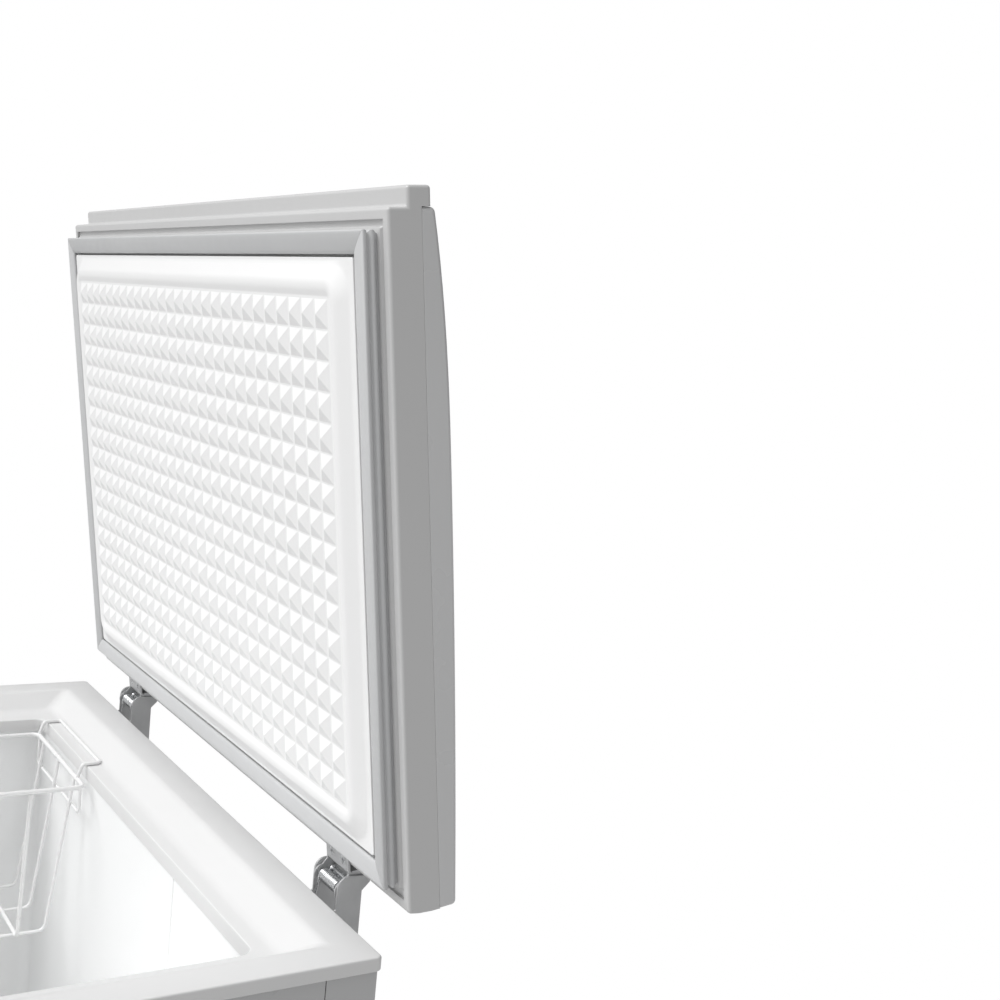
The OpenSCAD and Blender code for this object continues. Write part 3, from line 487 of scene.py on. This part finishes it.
def make_lid_frame():
    """Moulded lid frame: rounded rim, leaning back wall and a grip along the front."""
    outline = [
        (LID_BACK - BACK_LEAN, FRAME_Z), (LID_FRONT, FRAME_Z), (LID_FRONT, GRIP_Z),
        (LID_FRONT - GRIP_W, GRIP_Z), (LID_FRONT - GRIP_W, GRIP_TOP),
        (LID_FRONT - 0.2, GRIP_TOP), (LID_FRONT - 0.2, SIDE_TOP),
        (LID_BACK, SIDE_TOP), (LID_BACK, FRAME_Z + 22), (LID_BACK - 1.2, FRAME_Z + 10),
    ]
    bm = bmesh.new()
    weight = edge_weight(bm)
    prism(bm, outline, -LID_HALF, LID_HALF)
    bmesh.ops.recalc_face_normals(bm, faces=bm.faces)
    floor = next(f for f in bm.faces
                 if f.normal.z < -0.99 and f.calc_center_median().z < FRAME_Z + 1)
    for e in bm.edges:
        if e.calc_face_angle(0) >= math.radians(20):
            e[weight] = rim_rounding(e)
    # the pocket that takes the liner's border
    bmesh.ops.inset_region(bm, faces=[floor], thickness=RIM_IN + 0.2, use_even_offset=True)
    for e in floor.edges:
        e[weight] = 0.28
    ring = bmesh.ops.extrude_face_region(bm, geom=[floor])
    bmesh.ops.delete(bm, geom=[floor], context="FACES")
    for v in [g for g in ring["geom"] if isinstance(g, bmesh.types.BMVert)]:
        v.co.z += RIM_DEPTH
    for e in bm.edges:
        if all(FRAME_Z + 1 < v.co.z < FRAME_Z + 5 for v in e.verts):
            e[weight] = 0.0
    place(bm, lid_place)
    obj = bevelled(new_object("lid_frame_moulding", bm, 0), 2.8, 4)
    finish_piece(obj, "lid_frame")


CROWN_H, CROWN_BACK, CROWN_FRONT = 21.2, 5.7, 9.5
CROWN_LINE = LID_BACK - 345


def crown(y):
    if y > CROWN_LINE:
        drop = CROWN_BACK * ((y - CROWN_LINE) / (LID_BACK - CROWN_LINE)) ** 2
    else:
        drop = CROWN_FRONT * ((CROWN_LINE - y) / (CROWN_LINE - LID_FRONT)) ** 2.6
    return SIDE_TOP + CROWN_H - drop


def make_lid_panel():
    """Painted lid skin, crowned from back to front, with a rolled edge all round."""
    steps = 28
    ys = [LID_BACK + (LID_FRONT - LID_BACK) * i / steps for i in range(steps + 1)]
    outline = [(LID_BACK, SIDE_TOP)] + [(y, crown(y)) for y in ys] + [(LID_FRONT, SIDE_TOP)]
    bm = bmesh.new()
    weight = edge_weight(bm)
    prism(bm, outline, -LID_HALF, LID_HALF)
    bmesh.ops.recalc_face_normals(bm, faces=bm.faces)
    for e in bm.edges:
        mid = (e.verts[0].co + e.verts[1].co) / 2
        if e.calc_face_angle(0) > math.radians(20):
            e[weight] = 0.12 if mid.z < SIDE_TOP + 0.1 else 1.0
    place(bm, lid_place)
    obj = bevelled(new_object("lid_skin", bm, 0), 4.0, 5)
    finish_piece(obj, "lid_panel")


# ---- lid liner


def ring_points(hx, hy, r, corner=8):
    """Rounded rectangle, anticlockwise from its right side's upper end."""
    points = []
    mx, my = hx - r, hy - r
    for k, (cx, cy) in enumerate(((mx, my), (-mx, my), (-mx, -my), (mx, -my))):
        for i in range(corner + 1):
            a = math.radians(90 * k + 90 * i / corner)
            points.append((cx + r * math.cos(a), cy + r * math.sin(a)))
    return points


def join_rows(bm, rows):
    n = len(rows[0])
    for a, b in zip(rows, rows[1:]):
        for i in range(n):
            bm.faces.new((a[i], a[(i + 1) % n], b[(i + 1) % n], b[i]))


def loft(bm, rings):
    """Skin over rings of (half x, half y, corner radius, z) round the seal's middle."""
    rows = []
    for hx, hy, r, z in rings:
        points = ring_points(hx, hy, r)
        rows.append([bm.verts.new((x, GASKET_Y + y, z)) for x, y in points])
    join_rows(bm, rows)
    return rows


def smooth_profile(points, radii, steps=4):
    """Rounds the corners of a polyline of (s, z) points; radii has one value per inner point."""
    out = [points[0]]
    for i in range(1, len(points) - 1):
        p, q, r = (Vector(points[k]) for k in (i - 1, i, i + 1))
        u, v = (p - q), (r - q)
        cut = min(radii[i - 1], 0.45 * u.length, 0.45 * v.length)
        a, b = q + u.normalized() * cut, q + v.normalized() * cut
        for k in range(steps + 1):
            t = k / steps
            out.append(tuple((1 - t) ** 2 * a + 2 * t * (1 - t) * q + t * t * b))
    out.append(points[-1])
    return out


PITCH = (25.0, 24.0)
COUNT = (27, 17)
PYRAMID_HALF, PYRAMID_H = 11.25, 5.0
FIELD = (COUNT[0] * PITCH[0] / 2, COUNT[1] * PITCH[1] / 2)
# heights above the gasket's face of the ridge, the sunk field and the flange; the ridge's outer
# slope and the half size of its foot
PLATEAU_W, RECESS_W, FLANGE_W = -4.5, -2.5, 3.0
SLOPE_W, RIDGE_HALF = 14.5, (365.0, 231.5)


def make_lid_liner():
    """Vacuum-formed liner: flange, rounded ridge, sunk field of embossed pyramids."""
    bm = bmesh.new()
    inner = (FIELD[0] + 1.0, FIELD[1] + 1.0)
    # s is the distance outwards from the field's edge, w the height above the gasket's face
    reach = RIDGE_HALF[0] - inner[0]
    top_end = reach - SLOPE_W
    profile = smooth_profile(
        [(-0.5, RECESS_W), (0.6, RECESS_W), (6.2, PLATEAU_W), (top_end, PLATEAU_W),
         (reach, FLANGE_W), (reach + 6.4, FLANGE_W), (reach + 7.2, 11.8), (reach + 12.5, 12.6)],
        [0.6, 2.5, 5.5, 4.5, 0.8, 0.8], 5)
    seal_in = [half - GASKET_W for half in GASKET_HALF]
    ridge_rise = (RIDGE_HALF[1] - inner[1]) / reach
    flange_rise = (seal_in[1] - RIDGE_HALF[1]) / (seal_in[0] - RIDGE_HALF[0])
    rings = []
    for s, w in profile:
        hx = inner[0] + s
        hy = inner[1] + min(s, reach) * ridge_rise + max(0.0, s - reach) * flange_rise
        grow = max(0.0, min(1.0, s / top_end))
        square = max(0.0, min(1.0, (s - reach) / 5.0))
        rounded = 2.0 + 15.0 * grow + 0.6 * max(0.0, s - top_end)
        rings.append((hx, hy, rounded * (1 - square) + 3.0 * square, LID_Z + w))
    loft(bm, rings)
    # the pyramids and the flat strips between them; a bridge joins them to the ring
    xs, ys = [], []
    for k in range(COUNT[0]):
        c = (k - (COUNT[0] - 1) / 2) * PITCH[0]
        xs += [c - PYRAMID_HALF, c, c + PYRAMID_HALF]
    for k in range(COUNT[1]):
        c = (k - (COUNT[1] - 1) / 2) * PITCH[1]
        ys += [c - PYRAMID_HALF, c, c + PYRAMID_HALF]
    grid = {}

    def vert(i, j):
        if (i, j) not in grid:
            apex = i % 3 == 1 and j % 3 == 1
            w = RECESS_W - (PYRAMID_H if apex else 0)
            grid[i, j] = bm.verts.new((xs[i], GASKET_Y + ys[j], LID_Z + w))
        return grid[i, j]

    for i in range(0, len(xs), 3):
        for j in range(0, len(ys), 3):
            a, b, c, d = vert(i, j), vert(i + 2, j), vert(i + 2, j + 2), vert(i, j + 2)
            top = vert(i + 1, j + 1)
            for p, q in ((a, b), (b, c), (c, d), (d, a)):
                bm.faces.new((p, q, top))
            if i + 3 < len(xs):
                bm.faces.new((b, vert(i + 3, j), vert(i + 3, j + 2), c))
            if j + 3 < len(ys):
                bm.faces.new((d, c, vert(i + 2, j + 3), vert(i, j + 3)))
            if i + 3 < len(xs) and j + 3 < len(ys):
                bm.faces.new((c, vert(i + 3, j + 2), vert(i + 3, j + 3), vert(i + 2, j + 3)))
    bm.verts.index_update()
    border = [e for e in bm.edges if e.is_boundary and all(
        abs(v.co.x) < inner[0] + 0.2 and abs(v.co.y - GASKET_Y) < inner[1] + 0.2 for v in e.verts)]
    bmesh.ops.bridge_loops(bm, edges=border)
    bmesh.ops.recalc_face_normals(bm, faces=bm.faces)
    if sum(f.normal.z for f in bm.faces) > 0:
        bmesh.ops.reverse_faces(bm, faces=bm.faces)
    place(bm, lid_place)
    mesh = bpy.data.meshes.new("lid_liner_form")
    bm.to_mesh(mesh)
    bm.free()
    obj = bpy.data.objects.new("lid_liner_form", mesh)
    bpy.context.scene.collection.objects.link(obj)
    bevelled(obj, 0.9, 2, False, 12)
    finish_piece(obj, "lid_liner")
    make_liner_border()


def make_liner_border():
    """Stepped edge of the liner under the gasket and out to the frame."""
    bm = bmesh.new()
    # (distance outside the gasket, corner radius, height)
    steps = [(-17, 1, LID_Z + 12.6), (-0.4, 1.5, LID_Z + 13.8), (1.2, 1.5, FRAME_Z + 0.3),
             (2.2, 1.5, FRAME_Z + 2.4), (3.0, 1.5, FRAME_Z + 3.0)]
    last = loft(bm, [(GASKET_HALF[0] + s, GASKET_HALF[1] + s, r, z) for s, r, z in steps])[-1]
    outer = []
    for v in last:
        x, y, z = v.co
        if abs(x) > GASKET_HALF[0]:
            x = math.copysign(LID_HALF - RIM_IN, x)
        if y > GASKET_Y + GASKET_HALF[1]:
            y = LID_BACK - BACK_LEAN - RIM_IN
        elif y < GASKET_Y - GASKET_HALF[1]:
            y = LID_FRONT + RIM_IN
        outer.append(bm.verts.new((x, y, z)))
    join_rows(bm, [last, outer])
    bmesh.ops.remove_doubles(bm, verts=bm.verts, dist=0.01)
    place(bm, lid_place)
    obj = new_object("lid_liner_border", bm, 30)
    finish_piece(obj, slot="lid_plastic", body="lid")


def make_lid_foam():
    """The lid's foam, drawn back inside the rounded ridge of the liner."""
    bm = bmesh.new()
    bm.from_mesh(NODES["lid_foam"].data)
    closed, gap = LID_TURN.inverted(), 11 * MM
    middle = Vector((0, Y_BACK + GASKET_Y * MM, 0))
    for v in bm.verts:
        p = closed @ v.co - middle
        if p.z < (FRAME_Z + 3.05) * MM:
            for k, far in ((0, 0.3), (1, 0.18)):
                if abs(p[k]) > far:
                    p[k] -= math.copysign(gap, p[k])
            v.co = LID_TURN @ (p + middle)
    finish_piece(new_object("lid_foam_fill", bm, 30), "lid_foam")


# ---- gasket

# Rows of one side, from mitre to mitre: which end, distance short of the mitre, edge rounding
WELD = 0.16
MITRE_ROWS = ((-1, WELD, 0.35), (-1, WELD + 0.5, 0.0), (1, WELD + 0.5, 0.0), (1, WELD, 0.35))


def make_gasket():
    """Soft seal: crowned face, two bellows below it, mitred corners with a fine weld line."""
    # (s, w): s inwards from the outer edge, w away from the face
    face = [(0.0, 1.1), (0.9, 0.25), (2.6, 0.0), (6.0, 0.05), (10.5, 0.45), (14.5, 1.05),
            (16.6, 1.7), (GASKET_W, 2.8)]
    inner = [(17.4, 4.2), (16.2, 5.0), (14.8, 5.6), (15.0, 6.4), (16.9, 7.4), (17.2, 9.0),
             (16.6, 10.6), (15.2, 11.4), (15.6, 13.9)]
    outer = [(2.6, 13.9), (2.2, 12.3), (1.4, 11.4), (0.35, 10.4), (0.1, 9.0), (0.5, 7.4),
             (1.9, 6.3), (2.5, 5.6), (1.9, 5.0), (0.6, 4.3), (0.0, 3.0)]
    profile = face + inner + outer
    profile = smooth_profile([*profile, profile[0]], [0.7] * (len(profile) - 1), 2)[:-1]
    bm = bmesh.new()
    for side in range(4):
        turn = (1, 0, -1, 0)[side], (0, 1, 0, -1)[side]
        across, along = GASKET_HALF if side % 2 == 0 else reversed(GASKET_HALF)
        rows = []
        for sign, pull, shrink in MITRE_ROWS:
            row = []
            for s, w in profile:
                s2 = s + shrink * (0.5 - s / GASKET_W)
                w2 = w + (0.6 * shrink if w < 5 else 0)
                u, v = across - s2, sign * (along - s2 - pull)
                x, y = turn[0] * u - turn[1] * v, turn[1] * u + turn[0] * v
                row.append(bm.verts.new((x, GASKET_Y + y, LID_Z + w2)))
            rows.append(row)
        join_rows(bm, rows)
        bm.faces.new(rows[0])
        bm.faces.new(list(reversed(rows[-1])))
    place(bm, lid_place)
    obj = new_object("door_seal", bm, 50)
    finish_piece(obj, "gasket")


# ---- collar

# height of the outer lip, width of the flat band, drops of the ledge and of the skirt's lower edge
LIP_H, BAND_W, LEDGE_DROP, SKIRT_DROP = 11.9, 34.0, 18.0, 33.0
LEDGE_IN, LEDGE_OUT, LEDGE_EXTRA = 58.0, 74.6, 15.9


def make_collar():
    """Moulded collar: outer lip, flat sealing band, slope, ledge for the basket, and skirt."""
    skirt = LEDGE_OUT - 1.4
    # (distance inside the outer edge, height above the collar's top)
    profile = smooth_profile(
        [(9.0, -LIP_H), (0.9, -LIP_H), (0.0, 0.9 - LIP_H), (0.0, 0.0), (BAND_W, 0.0),
         (LEDGE_IN, -LEDGE_DROP), (LEDGE_OUT, -LEDGE_DROP), (LEDGE_OUT, -SKIRT_DROP),
         (skirt, -SKIRT_DROP), (skirt, 7.0 - SKIRT_DROP)],
        [0.6, 0.6, 2.2, 5.0, 6.0, 1.3, 0.6, 0.5], 5)
    bm = bmesh.new()
    rows = []
    for s, z in profile:
        radius = 5.0 + 9.0 * min(1.0, max(0.0, (s - 20) / 50))
        # the ledge is wider at the basket's end, and its underside runs back to the liner
        if z < -25:
            share = (s - skirt) / (LEDGE_OUT - skirt)
        else:
            share = min(1.0, max(0.0, (s - LEDGE_IN) / (LEDGE_OUT - LEDGE_IN)))
        shift = LEDGE_EXTRA * share / 2
        ring = ring_points(HALF_LEN - s - shift, BODY_DEPTH / 2 - s, radius)
        rows.append([bm.verts.new((shift + x, y - BODY_DEPTH / 2, BODY_TOP + z)) for x, y in ring])
    join_rows(bm, rows)
    place(bm, cabinet_place)
    obj = new_object("collar_moulding", bm, 50)
    finish_piece(obj, "collar")


# ---- liner of the well

WALL, FLOOR_Z, LINER_R = 72.8, 85.0, 13.0
HUMP_LEN, HUMP_H = 150.0, 190.0
# the lap seam in the well, and the joint near the back corners of the cabinet's sides
SEAM_X, SEAM_Y = 143.0, -45.0
# the cabinet's sides lie PANEL_IN inside the collar's edge; behind their joint with the back panel's return a thin
# near-black strip paints the shade in the gap (painted shade); the last two values give how far behind their face
# it lies and how thick it is
PANEL_IN, SHADE_STRIP_IN, SHADE_STRIP_T = 5.0, 0.7, 0.3


def make_liner():
    """Coated sheet liner: rounded corners, a raised step over the compressor, one lap seam."""
    x0, x1 = -HALF_LEN + WALL, HALF_LEN - WALL
    y0, y1 = -BODY_DEPTH + WALL, -WALL
    top = BODY_TOP - 22.5
    outline = [(x0, top), (x0, FLOOR_Z), (x1 - HUMP_LEN, FLOOR_Z), (x1 - HUMP_LEN, FLOOR_Z + HUMP_H),
               (x1, FLOOR_Z + HUMP_H), (x1, top)]
    bm = bmesh.new()
    weight = edge_weight(bm)
    front = [bm.verts.new((x, y0, z)) for x, z in outline]
    back = [bm.verts.new((x, y1, z)) for x, z in outline]
    for i in range(len(outline) - 1):
        bm.faces.new((front[i], front[i + 1], back[i + 1], back[i]))
    bm.faces.new(front)
    bm.faces.new(list(reversed(back)))
    for e in bm.edges:
        if len(e.link_faces) == 2:
            e[weight] = 1.0
    place(bm, cabinet_place)
    obj = new_object("well_liner", bm, 0)
    bevelled(obj, LINER_R, 6)
    finish_piece(obj, "liner")
    # the lap seam on the back wall: a thin wedge whose edge shows
    bm = bmesh.new()
    start = SEAM_X - 34
    wedge = ((start, y1 + 0.2), (start, y1), (SEAM_X, y1 - 1.1), (SEAM_X, y1 + 0.2))
    column(bm, wedge, FLOOR_Z + 13, top)
    place(bm, cabinet_place)
    finish_piece(new_object("liner_lap_seam", bm, 30), slot="liner_white", body="cabinet")


def lathe(outline, at, sides=32):
    """Solid of revolution about x; outline is (x, radius) in mm, at is its place in mm."""
    bm = bmesh.new()
    rows = []
    for x, r in outline:
        rows.append([bm.verts.new((at[0] + x, at[1] + r * math.cos(t), at[2] + r * math.sin(t)))
                     for t in (2 * math.pi * k / sides for k in range(sides))])
    join_rows(bm, rows)
    bm.faces.new(rows[0])
    bm.faces.new(rows[-1])
    return bm


def tube(bm, points, radius, sides=10):
    """Round tube along a list of points, with closed ends."""
    rows = []
    side = None
    for i, p in enumerate(points):
        along = (points[min(i + 1, len(points) - 1)] - points[max(i - 1, 0)]).normalized()
        side = side or along.orthogonal()
        side = (side - along * side.dot(along)).normalized()
        other = along.cross(side)
        rows.append([bm.verts.new(p + radius * (side * math.cos(t) + other * math.sin(t)))
                     for t in (2 * math.pi * k / sides for k in range(sides))])
    join_rows(bm, rows)
    bm.faces.new(rows[0])
    bm.faces.new(rows[-1])


def merge(target, source):
    """Moves the mesh of one bmesh into another."""
    mesh = bpy.data.meshes.new("part")
    source.to_mesh(mesh)
    source.free()
    target.from_mesh(mesh)
    bpy.data.meshes.remove(mesh)


# ---- hinges

HINGE_X, ARM_X = 282.0, 21.5
PIVOT_Y, PIVOT_Z = 16.8, BODY_TOP + 6.9
STOP_Y, STOP_Z = 14.9, BODY_TOP + 16.4
# radius of the coil and of its wire, its turns, their pitch, and points per turn
COIL_R, COIL_WIRE, COIL_TURNS, COIL_PITCH, COIL_STEPS = 5.25, 1.05, 14, 2.2, 20


def make_springs():
    """Wound torsion springs on the hinge pins, each with its fixed leg."""
    start_in = COIL_PITCH * COIL_TURNS / 2
    for side, label in ((-1, "left"), (1, "right")):
        start = side * HINGE_X - start_in
        coil = []
        for k in range(COIL_TURNS * COIL_STEPS + 1):
            turn = 2 * math.pi * k / COIL_STEPS
            coil.append(Vector((
                start + COIL_PITCH * k / COIL_STEPS,
                PIVOT_Y - COIL_R * math.cos(turn),
                PIVOT_Z + COIL_R * math.sin(turn),
            )))
        # (distance in front of the coil, depth below the pin)
        leg = [Vector((start - 0.2, PIVOT_Y - COIL_R - d, PIVOT_Z - h))
               for d, h in ((5.6, 34), (4.2, 24), (1.6, 12), (0.3, 4))]
        bm = bmesh.new()
        tube(bm, leg + coil, COIL_WIRE)
        place(bm, cabinet_place)
        spring = new_object("hinge_spring_" + label, bm, 60)
        finish_piece(spring, slot="zinc", body="cabinet")
        if side < 0:
            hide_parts("hinge_springs")


def make_stop_rods():
    """Stop pins of the lid's hinge arms, with a domed shoulder at one end."""
    outline = [(-ARM_X - 0.9, 2.2), (-ARM_X - 0.3, 3.0), (-ARM_X + 2.0, 3.0), (-ARM_X + 2.1, 4.0),
               (-ARM_X + 3.2, 4.3), (-ARM_X + 4.8, 3.9), (-ARM_X + 5.6, 2.9), (ARM_X + 0.3, 2.9),
               (ARM_X + 0.3, 2.4)]
    bm = bmesh.new()
    for side in (-1, 1):
        merge(bm, lathe(outline, (side * HINGE_X, STOP_Y, STOP_Z)))
    place(bm, lid_place)
    finish_piece(new_object("hinge_stop_rods", bm, 40), "hinge_stop_pins")


def make_arm_caps():
    """Folded cap behind the lid's back edge, which joins the two ears of each hinge arm."""
    y0, y1, z0, z1, t = 1.3, 18.0, FRAME_Z, BODY_TOP + 27, 2.0
    ear = [(y0, z0 + 1), (y1, BODY_TOP + 20), (y1, z1 - 1), (y1 - 1, z1), (y0 + 1, z1),
           (y0, z1 - 1)]
    web = [(y0, z0 + 2), (y0 + t, z0 + 2), (y0 + t, z1 - t), (y1, z1 - t), (y1, z1 - 0.05),
           (y0 + 0.05, z1 - 0.05)]
    half = ARM_X - t / 2
    bm = bmesh.new()
    for side in (-1, 1):
        for end in (-1, 1):
            x = side * HINGE_X + end * half
            prism(bm, ear, x - t / 2, x + t / 2)
        prism(bm, web, side * HINGE_X - half, side * HINGE_X + half)
    place(bm, lid_place)
    cap = bevelled(new_object("hinge_arm_caps", bm, 30), 0.4, 2, False, 30)
    finish_piece(cap, slot="hinge_steel", body="lid")


def make_hinges():
    make_springs()
    make_stop_rods()
    make_arm_caps()
    for level in ("lower", "upper"):
        for side in ("left", "right"):
            softened(f"hinge_{level}_{side}", 0.55, 3, 30)


def make_seam_shadow():
    """Painted shade: a thin near-black strip behind the joint between each side panel and the back panel's return,
    standing for the shadow in the gap.
    """
    bm = bmesh.new()
    y0, y1 = SEAM_Y - 0.8, SEAM_Y
    z0, z1 = 25.5, BODY_TOP - 12.5
    for side in (-1, 1):
        x = side * (HALF_LEN - PANEL_IN - SHADE_STRIP_IN)
        inner = x - side * SHADE_STRIP_T
        column(bm, ((x, y0), (x, y1), (inner, y1), (inner, y0)), z0, z1)
    place(bm, cabinet_place)
    # the strip takes the near-black rubber colour, which paints the shade in the seam's gap
    finish_piece(new_object("side_seam_painted_shade", bm, 30), slot="rubber", body="cabinet")


# CAD nodes whose hard edges are rounded. The widths are in metres, far more than the parts
# allow, so the modifier's overlap clamp sets the real rounding.
SOFT_EDGES = {
    "control_bezel": 0.9, "side_grille": 0.5, "bay_cover": 0.3, "feet": 1.0,
    "drain_cap": 0.9, "drain_stopper": 0.9, "indicator_lenses": 0.6,
}


make_camera()
SLOTS = node_slots()
MATS = make_materials()
for node, obj in NODES.items():
    paint(obj, MATS[SLOTS[node]])
make_lid_frame()
make_lid_panel()
make_lid_liner()
make_lid_foam()
make_gasket()
make_collar()
make_liner()
make_hinges()
make_seam_shadow()
for node, width in SOFT_EDGES.items():
    softened(node, width)
make_stage()
make_light()
